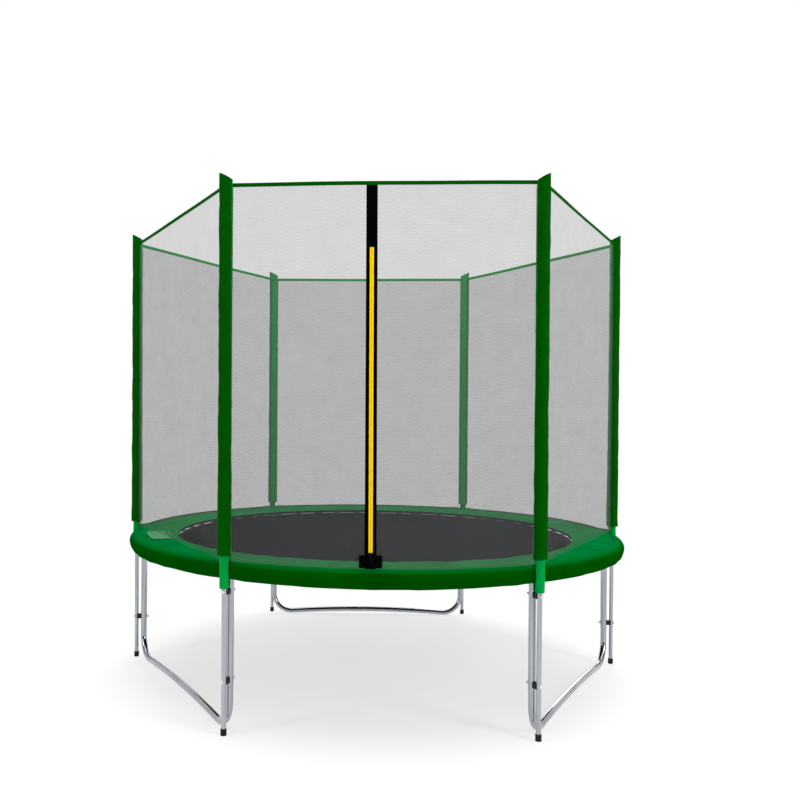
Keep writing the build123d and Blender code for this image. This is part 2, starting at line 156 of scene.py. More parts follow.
class Piece:
    """Collects grids of points into one mesh, with UVs in metres."""

    def __init__(self):
        self.points, self.faces, self.uvs, self.kinds, self.count = [], [], [], [], 0

    def grid(self, p, u, v, closed_u=False, closed_v=False, flip=False, kind=0):
        p = np.asarray(p, float)
        nu, nv = p.shape[:2]
        u, v = np.asarray(u, float), np.asarray(v, float)
        start = self.count
        self.points.append(p.reshape(-1, 3))
        self.count += nu * nv
        for i in range(nu if closed_u else nu - 1):
            ii = (i + 1) % nu
            for j in range(nv if closed_v else nv - 1):
                jj = (j + 1) % nv
                quad = [start + i * nv + j, start + ii * nv + j, start + ii * nv + jj, start + i * nv + jj]
                ends = [(u[i], v[j]), (u[i + 1], v[j]), (u[i + 1], v[j + 1]), (u[i], v[j + 1])]
                if flip:
                    quad.reverse()
                    ends.reverse()
                self.faces.append(quad)
                self.uvs.extend(ends)
                self.kinds.append(kind)

    def disc(self, ring, flip=False, kind=0):
        """Closes a ring of points with one face."""
        start = self.count
        ring = np.asarray(ring, float)
        self.points.append(ring)
        self.count += len(ring)
        face = list(range(start, start + len(ring)))
        ends = [(p[0], p[1]) for p in ring]
        if flip:
            face.reverse()
            ends.reverse()
        self.faces.append(face)
        self.uvs.extend(ends)
        self.kinds.append(kind)

    def tube(self, path, radius, sides=8, closed=False, kind=0, caps=True):
        """A round bar along a path."""
        path = np.asarray(path, float)
        n = len(path)
        ahead = np.roll(path, -1, 0) - np.roll(path, 1, 0)
        if not closed:
            ahead[0], ahead[-1] = path[1] - path[0], path[-1] - path[-2]
        ahead /= np.linalg.norm(ahead, axis=1)[:, None]
        normal = np.cross(ahead[0], [0.3, 0.2, 1.0])
        normal /= np.linalg.norm(normal)
        rings = np.zeros((n, sides, 3))
        angles = np.arange(sides) * 2 * math.pi / sides
        radii = np.broadcast_to(radius, (n,))
        first = normal.copy()
        for i in range(n):
            normal = normal - ahead[i] * (normal @ ahead[i])
            normal /= np.linalg.norm(normal)
            other = np.cross(ahead[i], normal)
            circle = np.outer(np.cos(angles), normal) + np.outer(np.sin(angles), other)
            rings[i] = path[i] + radii[i] * circle
        length = np.concatenate([[0], np.cumsum(np.linalg.norm(np.diff(path, axis=0), axis=1))])
        length = np.append(length, length[-1] + 0.001)
        girth = np.arange(sides + 1) * 2 * math.pi / sides * float(np.mean(radii))
        if closed:
            twist = math.atan2(float(np.cross(normal, first) @ ahead[0]), float(normal @ first))
            shift = int(round(twist / (2 * math.pi / sides))) % sides
            rings = np.concatenate([rings, [np.roll(rings[0], shift, 0)]])
            length = np.append(length, length[-1])
        self.grid(rings, length, girth, closed_v=True, flip=True, kind=kind)
        if caps and not closed:
            self.disc(rings[0], flip=True, kind=kind)
            self.disc(rings[-1], kind=kind)

    def make(self, name, materials, body="frame", sharp=40, weld=1e-5):
        mesh = bpy.data.meshes.new(name)
        mesh.from_pydata(np.concatenate(self.points).tolist(), [], self.faces)
        for material in materials:
            mesh.materials.append(material)
        mesh.polygons.foreach_set("material_index", np.array(self.kinds, np.int32))
        layer = mesh.uv_layers.new(name="metres")
        layer.data.foreach_set("uv", np.array(self.uvs, np.float32).ravel())
        bm = bmesh.new()
        bm.from_mesh(mesh)
        if weld:
            bmesh.ops.remove_doubles(bm, verts=bm.verts, dist=weld)
        limit = math.radians(sharp)
        for face in bm.faces:
            face.smooth = True
        for edge in bm.edges:
            edge.smooth = len(edge.link_faces) != 2 or edge.calc_face_angle(0) < limit
        bm.to_mesh(mesh)
        bm.free()
        piece = bpy.data.objects.new(name, mesh)
        bpy.context.scene.collection.objects.link(piece)
        if body:
            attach(piece, body)
        return piece


def stitch_row(piece, line, outward, length=0.005, gap=0.0025, width=0.0011, height=0.0007, kind=0,
               closed=False):
    """A row of raised stitches along a line of points; outward gives the surface normal at each point."""
    line, outward = np.asarray(line, float), np.asarray(outward, float)
    if closed:
        line, outward = np.vstack([line, line[:1]]), np.vstack([outward, outward[:1]])
    along = np.concatenate([[0], np.cumsum(np.linalg.norm(np.diff(line, axis=0), axis=1))])
    count = max(1, int((along[-1] - gap) / (length + gap)))
    starts = (np.arange(count) + 0.5) * along[-1] / count
    for s in starts:
        a, b = [np.array([np.interp(q, along, line[:, k]) for k in range(3)])
                for q in (s - length / 2, s + length / 2)]
        up = np.array([np.interp(s, along, outward[:, k]) for k in range(3)])
        up /= np.linalg.norm(up)
        ahead = b - a
        side = np.cross(up, ahead)
        side *= width / 2 / np.linalg.norm(side)
        middle = (a + b) / 2
        start = piece.count
        ring = [a, middle - ahead * 0.3 + side, middle + ahead * 0.3 + side, b,
                middle + ahead * 0.3 - side, middle - ahead * 0.3 - side]
        top = [middle - ahead * 0.28 + up * height, middle + ahead * 0.28 + up * height]
        piece.points.append(np.array(ring + top))
        piece.count += 8
        for face in ((0, 6, 1), (1, 6, 7, 2), (2, 7, 3), (3, 7, 4), (4, 7, 6, 5), (5, 6, 0)):
            piece.faces.append([start + k for k in face])
            piece.uvs.extend([(s, 0.0)] * len(face))
            piece.kinds.append(kind)


# ---------------------------------------------------------------- materials
def linear(r, g, b):
    """Linear colour of an sRGB one given from 0 to 255."""
    def one(c):
        c = c / 255
        return c / 12.92 if c <= 0.04045 else ((c + 0.055) / 1.055) ** 2.4
    return (one(r), one(g), one(b), 1.0)


class Look:
    """A Principled material and short ways to add nodes to it."""

    def __init__(self, name, **constants):
        self.material = bpy.data.materials.new(name)
        self.material.use_nodes = True
        self.tree = self.material.node_tree
        self.shader = self.tree.nodes["Principled BSDF"]
        for key, value in constants.items():
            self.shader.inputs[key.replace("_", " ")].default_value = value

    def put(self, socket, value):
        if isinstance(value, bpy.types.NodeSocket):
            self.tree.links.new(value, socket)
        else:
            socket.default_value = value

    def node(self, kind, output=0, inputs=(), **settings):
        made = self.tree.nodes.new(kind)
        for key, value in settings.items():
            setattr(made, key, value)
        for key, value in dict(inputs).items():
            self.put(made.inputs[key], value)
        return made.outputs[output]

    def set(self, name, value):
        self.put(self.shader.inputs[name], value)

    def math(self, operation, a, b=0.0, c=0.0):
        return self.node("ShaderNodeMath", inputs={0: a, 1: b, 2: c}, operation=operation)

    def place(self):
        return self.node("ShaderNodeTexCoord", output=3)

    def metres(self):
        uv = self.node("ShaderNodeUVMap", uv_map="metres")
        made = self.tree.nodes.new("ShaderNodeSeparateXYZ")
        self.put(made.inputs[0], uv)
        return made.outputs[0], made.outputs[1]

    def noise(self, scale, detail=3.0, rough=0.5, stretch=(1, 1, 1), where=None, distortion=0.0):
        vector = self.node("ShaderNodeMapping", inputs={"Vector": where or self.place(), "Scale": stretch})
        return self.node("ShaderNodeTexNoise", inputs={
            "Vector": vector, "Scale": scale, "Detail": detail, "Roughness": rough, "Distortion": distortion})

    def span(self, value, low0, high0, low1, high1):
        return self.node("ShaderNodeMapRange", inputs={0: value, 1: low0, 2: high0, 3: low1, 4: high1})

    def colours(self, factor, a, b):
        made = self.tree.nodes.new("ShaderNodeMix")
        made.data_type = "RGBA"
        self.put(made.inputs["Factor"], factor)
        self.put(made.inputs[6], a)
        self.put(made.inputs[7], b)
        return made.outputs[2]

    def wave(self, value, pitch, phase=0.0):
        return self.math("SINE", self.math("MULTIPLY_ADD", value, 2 * math.pi / pitch, phase))

    def weave(self, pitch_u, pitch_v):
        """Height of a plain weave, from -1 to 1."""
        u, v = self.metres()
        return self.math("MULTIPLY", self.wave(u, pitch_u), self.wave(v, pitch_v))

    def bump(self, height, strength, distance, after=None):
        inputs = {"Height": height, "Strength": strength, "Distance": distance}
        if after is not None:
            inputs["Normal"] = after
        return self.node("ShaderNodeBump", inputs=inputs)


def steel_look(name, light, dark, rough0, rough1):
    """Galvanised tube: smears and faint drawing marks along the tube, with a clean mirror-like gloss."""
    look = Look(name, Metallic=1.0)
    smear = look.noise(5, 4, 0.6, (1, 1, 0.3))
    spangle = look.node("ShaderNodeTexVoronoi", inputs={"Vector": look.place(), "Scale": 120})
    fine = look.noise(420, 2, 0.5, (1, 1, 0.08))
    tone = look.math("ADD", smear, look.math("MULTIPLY", spangle, 0.06))
    look.set("Base Color", look.colours(look.span(tone, 0.3, 0.75, 0, 1), dark, light))
    look.set("Roughness",
             look.span(look.math("ADD", smear, look.math("MULTIPLY", fine, 0.2)), 0.4, 0.9, rough0, rough1))
    look.set("Normal", look.bump(fine, 0.02, 0.0005))
    return look.material


def fabric_look(name, base, shade, pitch, rough=0.8, bump=0.25, gloss=0.02, patch=9.0):
    """Woven cloth: two thread directions and uneven dye."""
    look = Look(name, Specular_IOR_Level=gloss, Specular_Tint=(0.5, 1.0, 0.6, 1.0))
    weave = look.weave(*pitch)
    uneven = look.noise(patch, 4, 0.6)
    grain = look.noise(900, 1, 0.5)
    dye = look.math("MULTIPLY_ADD", grain, 0.3, look.math("MULTIPLY", uneven, 0.8))
    tone = look.math("ADD", look.span(weave, -1, 1, -0.15, 0.15), dye)
    look.set("Base Color", look.colours(look.span(tone, 0.25, 0.95, 0, 1), shade, base))
    look.set("Roughness", look.span(uneven, 0.3, 0.7, rough - 0.08, rough + 0.08))
    look.set("Normal", look.bump(weave, bump, 0.0006, look.bump(uneven, 0.15, 0.002)))
    return look.material


def vinyl_look(name, base, shade, rough, gloss, painted_top_light=None):
    """Coated PVC cloth: leathery grain, soft gloss, rubbed patches, and a lighter upper edge if given, which is
    painted light falling on the shoulder.
    """
    look = Look(name, Specular_IOR_Level=gloss, Specular_Tint=(0.3, 1.0, 0.55, 1.0))
    patches = look.noise(5, 4, 0.65)
    grain = look.noise(700, 2, 0.5)
    creases = look.noise(38, 4, 0.7, distortion=0.6)
    tone = look.span(look.math("MULTIPLY_ADD", creases, 0.35, patches), 0.45, 0.95, 0, 1)
    colour = look.colours(tone, shade, base)
    if painted_top_light:
        # Painted light: the colour turns lighter near the top edge, where the overhead light falls on the
        # rounded shoulder.
        split = look.tree.nodes.new("ShaderNodeSeparateXYZ")
        look.put(split.inputs[0], look.place())
        near_top = look.span(split.outputs[2], PAD_HIGH - 0.018, PAD_HIGH + 0.001, 0, 1)
        colour = look.colours(near_top, colour, painted_top_light)
    look.set("Base Color", colour)
    look.set("Roughness", look.span(patches, 0.3, 0.7, rough - 0.06, rough + 0.08))
    look.set("Normal", look.bump(grain, 0.12, 0.0004, look.bump(creases, 0.12, 0.0015)))
    return look.material


def foam_look(name, base, shade):
    look = Look(name, Specular_IOR_Level=0.03, Specular_Tint=(0.4, 1.0, 0.6, 1.0))
    cells = look.node("ShaderNodeTexVoronoi", inputs={"Vector": look.place(), "Scale": 750})
    uneven = look.noise(30, 4, 0.6)
    tone = look.span(look.math("MULTIPLY_ADD", cells, 0.4, uneven), 0.35, 0.95, 0, 1)
    look.set("Base Color", look.colours(tone, base, shade))
    look.set("Roughness", look.span(uneven, 0.3, 0.7, 0.55, 0.72))
    look.set("Normal", look.bump(cells, 0.2, 0.0005, look.bump(uneven, 0.15, 0.002)))
    return look.material


def plastic_look(name, base, shade, rough, scale=60, gloss=0.2):
    look = Look(name, Specular_IOR_Level=gloss)
    uneven = look.noise(scale, 4, 0.6)
    grain = look.noise(1500, 1, 0.5)
    look.set("Base Color", look.colours(look.span(uneven, 0.3, 0.7, 0, 1), shade, base))
    look.set("Roughness", look.span(uneven, 0.3, 0.7, rough - 0.06, rough + 0.08))
    look.set("Normal", look.bump(grain, 0.12, 0.0003))
    return look.material


def net_look(name):
    """Knitted mesh: rows of offset stitches that let most of the light through."""
    look = Look(name, Specular_IOR_Level=0.05)
    u, v = look.metres()
    row = 0.0092
    parity = look.math("MULTIPLY", look.math("FLOOR", look.math("DIVIDE", v, row)), math.pi)
    across = look.math("SINE", look.math("ADD", look.math("MULTIPLY", u, 2 * math.pi / 0.044), parity))
    down = look.wave(v, row)
    fine = look.math("MULTIPLY", look.wave(u, 0.0052), look.wave(v, 0.0046))
    uneven = look.noise(11, 3, 0.6)
    knit = look.math("MULTIPLY", down, look.math("MULTIPLY_ADD", across, 0.45, 0.55))
    total = look.math("ADD", look.math("MULTIPLY", knit, 0.045), look.math("MULTIPLY", fine, 0.05))
    total = look.math("ADD", total, look.span(uneven, 0.3, 0.7, -0.02, 0.02))
    look.set("Alpha", look.math("ADD", total, NET_COVER))
    look.set("Base Color", look.colours(look.span(fine, -1, 1, 0, 1), NET_DARK, NET_LIGHT))
    look.set("Roughness", look.span(uneven, 0.3, 0.7, 0.7, 0.85))
    look.set("Normal", look.bump(fine, 0.2, 0.0005))
    return look.material


NET_COVER = 0.38
NET_DARK = (0.070, 0.072, 0.074, 1)
NET_LIGHT = (0.125, 0.128, 0.130, 1)

STEEL = steel_look("galvanised_tube", (0.44, 0.46, 0.49, 1), (0.30, 0.315, 0.34, 1), 0.07, 0.17)
POLE_STEEL = steel_look("galvanised_pole", (0.46, 0.48, 0.51, 1), (0.32, 0.335, 0.36, 1), 0.07, 0.17)
SPRING_STEEL = steel_look("zinc_spring", (0.46, 0.46, 0.45, 1), (0.24, 0.24, 0.23, 1), 0.34, 0.52)
ZINC = steel_look("zinc_fastener", (0.80, 0.80, 0.78, 1), (0.52, 0.52, 0.50, 1), 0.20, 0.40)
POCKET = fabric_look("pocket_cloth", linear(0, 86, 0), linear(0, 68, 0), (0.0013, 0.0013), 0.72)
LINER = fabric_look("pocket_liner", linear(0, 150, 66), linear(0, 130, 54), (0.0013, 0.0013), 0.72)
BORDER = fabric_look("border_cloth", linear(0, 84, 2), linear(0, 66, 0), (0.0016, 0.0016), 0.75)
THREAD = plastic_look("green_thread", linear(4, 116, 30), linear(0, 88, 14), 0.6, gloss=0.05)
FOAM = foam_look("foam_green", linear(0, 160, 70), linear(0, 136, 54))
VINYL = vinyl_look("cover_vinyl", linear(0, 116, 56), linear(0, 90, 38), 0.6, 0.0)
# The skirt's vinyl is the cover's vinyl made darker: painted shade of the hanging side, with a painted-light
# band at its top.
SKIRT_VINYL_PAINTED_SHADE = vinyl_look("skirt_vinyl", linear(0, 78, 0), linear(0, 62, 0), 0.6, 0.0, painted_top_light=linear(0, 100, 36))
# Black backing on the cover's inner wall and underside: a backing cloth, and on the inner wall also painted
# shade for the shadow under the cover's inner lip.
BACKING_AND_PAINTED_SHADE = fabric_look("cover_backing_and_painted_shade", (0.004, 0.004, 0.004, 1), (0.002, 0.002, 0.002, 1), (0.0020, 0.0020),
                      0.8, gloss=0.01)
NET = net_look("safety_net")
MAT_CLOTH = fabric_look("mat_cloth", (0.0050, 0.0054, 0.0054, 1), (0.0028, 0.0031, 0.0031, 1),
                        (0.0022, 0.0022), 0.8, 0.35, gloss=0.0)
WEBBING = fabric_look("edge_webbing", (0.004, 0.004, 0.004, 1), (0.002, 0.002, 0.002, 1), (0.0030, 0.0018),
                      0.7, 0.4, gloss=0.01)
TIE = fabric_look("tie_webbing", (0.008, 0.009, 0.008, 1), (0.004, 0.005, 0.004, 1), (0.0030, 0.0018), 0.7,
                  0.4)
MAT_THREAD = plastic_look("grey_thread", (0.030, 0.030, 0.029, 1), (0.018, 0.018, 0.017, 1), 0.6, gloss=0.02)
TAPE = fabric_look("zip_tape_cloth", (0.0012, 0.0012, 0.0012, 1), (0.0005, 0.0005, 0.0005, 1),
                   (0.0010, 0.0014), 0.8, 0.3, gloss=0.01)
YELLOW = fabric_look("yellow_tape", linear(255, 214, 0), linear(246, 196, 0), (0.0010, 0.0014), 0.6, 0.25)
COIL = plastic_look("yellow_coil", linear(240, 192, 0), linear(216, 164, 0), 0.4)
FLAP = fabric_look("flap_cloth", (0.0014, 0.0014, 0.0014, 1), (0.0006, 0.0006, 0.0006, 1), (0.0015, 0.0015),
                   0.8, 0.3, gloss=0.01)
BLACK_THREAD = plastic_look("black_thread", (0.004, 0.004, 0.004, 1), (0.002, 0.002, 0.002, 1), 0.6,
                            gloss=0.02)
BLACK_PLASTIC = plastic_look("black_plastic", (0.008, 0.008, 0.009, 1), (0.004, 0.004, 0.005, 1), 0.42,
                             gloss=0.25)
RUBBER = plastic_look("black_rubber", (0.012, 0.012, 0.012, 1), (0.007, 0.007, 0.007, 1), 0.68)
LACQUER = plastic_look("black_lacquer", (0.002, 0.002, 0.002, 1), (0.001, 0.001, 0.001, 1), 0.35, gloss=0.08)
PATCH = plastic_look("blank_patch", linear(84, 138, 98), linear(60, 116, 76), 0.7, gloss=0.0)


# ---------------------------------------------------------------- CAD nodes that stay
def dress(node, material):
    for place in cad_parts[node].material_slots:
        place.material = material


for number in range(1, STATIONS + 1):
    dress(f"frame_rail_{number}", STEEL)
    dress(f"leg_post_{number}", STEEL)
    dress(f"pole_lower_{number}", POLE_STEEL)
    dress(f"pole_upper_{number}", POLE_STEEL)
for number in range(1, 4):
    dress(f"leg_base_{number}", STEEL)
for node, material in (("pole_top_caps", BLACK_PLASTIC), ("foot_caps", RUBBER), ("clamp_spacers", BLACK_PLASTIC),
                       ("clamp_bolts", ZINC), ("clamp_nuts", ZINC), ("zip_slider", LACQUER),
                       ("zip_pull", LACQUER)):
    dress(node, material)


# ---------------------------------------------------------------- foam sleeves
def foam_sleeves():
    piece = Piece()
    sides = 36
    angles = np.arange(sides) * 2 * math.pi / sides
    inner = POLE_R + 0.0004
    edge = 0.0055
    bend = np.linspace(0, math.pi / 2, 5)
    profile = [(inner, FOAM_LOW + 0.020), (inner, FOAM_LOW + 0.002), (inner + 0.0015, FOAM_LOW)]
    profile += [(FOAM_R - edge + edge * math.sin(b), FOAM_LOW + edge - edge * math.cos(b)) for b in bend]
    heights = np.concatenate([np.linspace(FOAM_LOW + 0.010, POCKET_LOW + 0.03, 22),
                              np.linspace(0.85, FOAM_TOP, 8)])
    profile += [(FOAM_R, z) for z in heights]
    profile += [(inner + 0.002, FOAM_TOP), (inner, FOAM_TOP - 0.02)]
    radii = np.array([p[0] for p in profile])
    levels = np.array([p[1] for p in profile])
    girth = np.append(angles, 2 * math.pi) * FOAM_R
    for number in range(STATIONS):
        wobble = ripple(np.cos(angles)[:, None] * 0.03 + 0 * levels, levels[None, :] + 0 * angles[:, None],
                        0.05, 40 + number)
        slit = np.exp(-((angles[:, None] - math.pi) / 0.07) ** 2) * 0.0012
        r = radii[None, :] + (wobble * 0.00035 - slit) * (radii[None, :] > FOAM_R - 0.002)
        points = np.stack([r * np.cos(angles)[:, None], r * np.sin(angles)[:, None],
                           np.broadcast_to(levels, r.shape)], -1)
        points = turned(leaning(points), number * STEP)
        piece.grid(points, girth, levels, closed_u=True)
    return piece.make("foam_sleeve_set", [FOAM], sharp=60)


sleeves = foam_sleeves()
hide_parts("foam_sleeves")


# ---------------------------------------------------------------- pole pockets
def pole_pocket(number):
    """Cloth tube over a pole, dark outside and lighter towards the mat, closed by a flat slanted lid."""
    piece = Piece()
    sides, rings = 60, 110
    angles = np.arange(sides) * 2 * math.pi / sides
    station = math.radians((number - 1) * STEP)
    high_side = (0 if math.cos(station) > 0 else math.pi) - station
    slope = np.cos(angles - high_side) * math.tan(POCKET_SLANT)
    t = np.linspace(0, 1, rings) ** 0.9
    top = POCKET_TOP + (POCKET_R - 0.001) * slope
    levels = POCKET_LOW + (top[:, None] - POCKET_LOW) * t[None, :]
    c, s = np.cos(angles)[:, None], np.sin(angles)[:, None]
    r = np.full(levels.shape, POCKET_R - 0.0007)
    r += 0.00075 * ripple(c * 0.045 + 0 * levels, levels + 0.02 * s, 0.16, 60 + number)
    r += 0.0004 * ripple(s * 0.04 + 0 * levels, levels, 0.045, 80 + number)
    pinch = np.exp(-((angles[:, None] - math.pi) / 0.30) ** 2)
    r -= 0.0012 * pinch * (1 - smooth(levels, 2.19, 2.22))
    r += 0.0016 * (1 - smooth(levels, 0.75, 1.4))
    hem = 0.024
    r += 0.0007 * (1 - smooth(levels, POCKET_LOW + hem - 0.002, POCKET_LOW + hem + 0.001))
    r -= 0.0006 * np.exp(-((levels - POCKET_LOW - hem) / 0.0018) ** 2)
    outer = np.stack([r * c, r * s, levels], -1)
    girth = np.append(angles, 2 * math.pi) * POCKET_R

    def place(points):
        return turned(leaning(points), (number - 1) * STEP)

    piece.grid(place(outer), girth, t * (POCKET_TOP - POCKET_LOW), closed_u=True)
    liner_half = math.radians(35 if number in (1, 4) else 75)
    is_liner = np.abs(angles + angles[1] / 2 - math.pi) < liner_half
    piece.kinds = np.repeat(np.where(is_liner, 2, 0), rings - 1).tolist()
    depth = 0.035
    inside = np.linspace(0, 1, 6)
    rim_r = r[:, :1] - 0.0016 * smooth(inside, 0, 0.05)[None, :]
    rim_z = POCKET_LOW + depth * inside[None, :] + 0 * rim_r
    rim = np.stack([rim_r * c, rim_r * s, rim_z], -1)
    piece.grid(place(rim), girth, depth * inside, closed_u=True, flip=True)
    lid = np.linspace(1, 0, 7)
    lid_r = r[:, -1:] * lid[None, :]
    lid_z = POCKET_TOP + lid_r * slope[:, None] - 0.0008 * (1 - lid[None, :] ** 3)
    lid_points = place(np.stack([lid_r * c, lid_r * s, lid_z], -1))
    piece.grid(lid_points[:, :6], girth, lid[:6] * POCKET_R, closed_u=True)
    piece.disc(lid_points[:, 5])
    piping = np.stack([r[:, -1] * c[:, 0], r[:, -1] * s[:, 0], top - 0.0006], -1)
    piece.tube(place(np.vstack([piping, piping[:1]])), 0.0009, 6, caps=False)
    for height in (0.0045, hem - 0.005):
        row_r = r[:, 0] + 0.0002
        row = np.stack([row_r * c[:, 0], row_r * s[:, 0], np.full(sides, POCKET_LOW + height)], -1)
        flat = np.stack([c[:, 0], s[:, 0], 0 * c[:, 0]], -1)
        stitch_row(piece, place(row), turned(flat, (number - 1) * STEP), kind=1, closed=True)
    made = piece.make(f"pocket_{number}", [POCKET, THREAD, LINER], sharp=50)
    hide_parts(f"pole_pocket_{number}")


for number in range(1, STATIONS + 1):
    pole_pocket(number)


# ---------------------------------------------------------------- net
def pole_radius(z):
    return POLE_FOOT_R + z * math.tan(POLE_LEAN)


def pole_line_out(z):
    """How far out the straight line between two neighbouring poles is."""
    return pole_radius(z) * math.cos(math.radians(STEP / 2))


def net_out(along, z):
    """How far out the entrance side is: an arc at the bottom, straight at the top."""
    half = pole_radius(NET_LOW) * math.sin(math.radians(STEP / 2))
    bulge = NET_MIDDLE_BOTTOM - pole_line_out(NET_LOW)
    arc = (half ** 2 + bulge ** 2) / (2 * bulge)
    bottom = NET_MIDDLE_BOTTOM - arc + np.sqrt(arc ** 2 - along ** 2)
    return bottom + (pole_line_out(NET_HIGH) - bottom) * (z - NET_LOW) / (NET_HIGH - NET_LOW)


def side_out(middle, along, z):
    return net_out(along, z) if middle == ENTRANCE else pole_line_out(z) + 0 * along


def hem_height(middle, along):
    """Height of the hem's centre line along one side."""
    first = int(middle // STEP)
    rise0, rise1 = HEM_RISE[first], HEM_RISE[(first + 1) % STATIONS]
    t = np.clip(0.5 + np.asarray(along, float) / pole_radius(HEM_Z), 0, 1)
    bow = HEM_BOW if middle == ENTRANCE else HEM_SAG
    return HEM_Z + rise0 + (rise1 - rise0) * t + bow * np.sin(math.pi * t)


def on_panel(middle, along, out, z):
    a = math.radians(middle)
    along, out, z = np.broadcast_arrays(along, out, z)
    return np.stack([out * math.cos(a) - along * math.sin(a), out * math.sin(a) + along * math.cos(a), z], -1)


def half_span(z):
    """Half the net panel's width at a height, from pocket to pocket."""
    return pole_radius(z) * math.sin(math.radians(STEP / 2)) - POCKET_R + 0.0013


def entrance_span(z):
    """The same on the bowed side, whose lower ends reach further round the pockets."""
    return half_span(z) + 0.0026 * (NET_HIGH - z) / (NET_HIGH - NET_LOW)


def net_panel(name, middle, left, right, replaced, seed, columns):
    """left and right are functions of height that give the panel's sides."""
    piece = Piece()
    rows = 56
    z = NET_LOW + (NET_HIGH - NET_LOW) * np.linspace(0, 1, rows)
    s = np.linspace(0, 1, columns)
    along = left(z)[None, :] + (right(z) - left(z))[None, :] * s[:, None]
    t = np.broadcast_to((z - NET_LOW) / (NET_HIGH - NET_LOW), along.shape)
    height = NET_LOW + (hem_height(middle, along) - 0.004 - NET_LOW) * t
    middle_line = side_out(middle, along, height) - NET_THICK / 2
    hold = np.sin(math.pi * s)[:, None] ** 0.8 * np.sin(math.pi * np.clip(t, 0, 1)) ** 0.7
    wide = float(right(z)[0] - left(z)[0])
    sag = 0.0035 * wide * hold * (1.2 + ripple(along, height, 0.7, seed))
    drape = sag + 0.0022 * hold * ripple(along, height, 0.22, seed + 1)
    points = on_panel(middle, along, middle_line - drape, height)
    piece.grid(points, along[:, 0].tolist() + [0], z.tolist() + [0])
    made = piece.make(name, [NET], weld=0)
    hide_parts(replaced)


for number, middle in enumerate((30, 90, 150, 210, 330), 1):
    net_panel(f"net_{number}", middle, lambda z: -half_span(z), half_span, f"net_panel_{number}",
              100 + 3 * number, 44)
ZIP_EDGE = TAPE_WIDTH / 2 - 0.006
net_panel("net_left_of_zip", ENTRANCE, lambda z: -entrance_span(z), lambda z: 0 * z + ZIP_X - ZIP_EDGE,
          "net_front_left", 130, 26)
net_panel("net_right_of_zip", ENTRANCE, lambda z: 0 * z + ZIP_X + ZIP_EDGE, entrance_span, "net_front_right",
          140, 26)


def corner_bindings():
    """Folded tape on the inside of each net corner, sewn to the pocket."""
    piece = Piece()
    z = np.linspace(NET_LOW + 0.001, NET_HIGH - 0.001, 50)
    for number in range(STATIONS):
        for side in (-1, 1):
            middle = (number * STEP + side * STEP / 2) % 360
            near = -side * (entrance_span(z) if middle == ENTRANCE else half_span(z))
            strip = []
            for reach, lift in ((0.0, 0.0022), (0.0008, 0.0026), (0.0024, 0.0026), (0.0030, 0.0021)):
                along = near + side * reach
                strip.append(on_panel(middle, along, side_out(middle, along, z) - lift, z))
            u = [0.0, 0.001, 0.002, 0.003, 0.004]
            piece.grid(np.array(strip), u, z.tolist() + [0], flip=side > 0)
    piece.make("net_corner_tape", [BORDER])


corner_bindings()


# ---------------------------------------------------------------- border along the net's top
def net_hem():
    """Folded band along the net's top, one length on each side, ending inside the pockets."""
    piece = Piece()
    height = BORDER_HIGH - BORDER_LOW
    thick = 0.0042
    corners = 16
    angles = np.arange(corners) * 2 * math.pi / corners
    c, s = np.cos(angles), np.sin(angles)
    x = np.sign(c) * np.abs(c) ** 0.7 * thick / 2
    z = np.sign(s) * np.abs(s) ** 0.45 * height / 2
    faces_inwards = np.cos(angles + angles[1] / 2) < -0.05
    for number in range(STATIONS):
        middle = number * STEP + STEP / 2
        reach = half_span(HEM_Z) + 0.014
        along = np.linspace(-reach, reach, 70)
        t = 0.5 + along / (2 * reach)
        twist = (0.10 * np.sin(math.pi * t) * np.sin(5 * t + number))[:, None]
        centre_z = hem_height(middle, along) - 0.0008 * np.sin(math.pi * t) * np.sin(9.5 * t + 2 * number)
        out = pole_line_out(HEM_Z) - NET_THICK / 2
        rings = on_panel(middle, along[:, None], out + x * np.cos(twist) - z * np.sin(twist),
                         centre_z[:, None] + x * np.sin(twist) + z * np.cos(twist))
        start = len(piece.kinds)
        piece.grid(rings, np.append(along, 0), np.linspace(0, 2 * (height + thick), corners + 1),
                   closed_v=True)
        piece.kinds[start:] = np.tile(np.where(faces_inwards, 2, 0), len(along) - 1).tolist()
        direction = on_panel(middle, 0.0, 1.0, 0.0)
        for face in (-1, 1):
            line = on_panel(middle, along, out + face * (thick / 2 - 0.0001), centre_z - 0.0052)
            stitch_row(piece, line, np.tile(direction * face, (len(line), 1)), 0.006, 0.003, kind=1)
    made = piece.make("net_hem", [BORDER, THREAD, LINER], sharp=60)
    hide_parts("net_border")


net_hem()


# ---------------------------------------------------------------- padded cover
SHOULDER = 0.045          # reach of the rounded shoulder
SHOULDER_Z = PAD_HIGH + 0.0014
WIDEST_Z = 0.662          # the cover is widest here
TUCK = 0.013              # how far the hanging edge turns in at the bottom
FRONT_DROP = 0.007        # it hangs this much lower under the entrance
DEGREES_IN_RADIAN = 57.2958


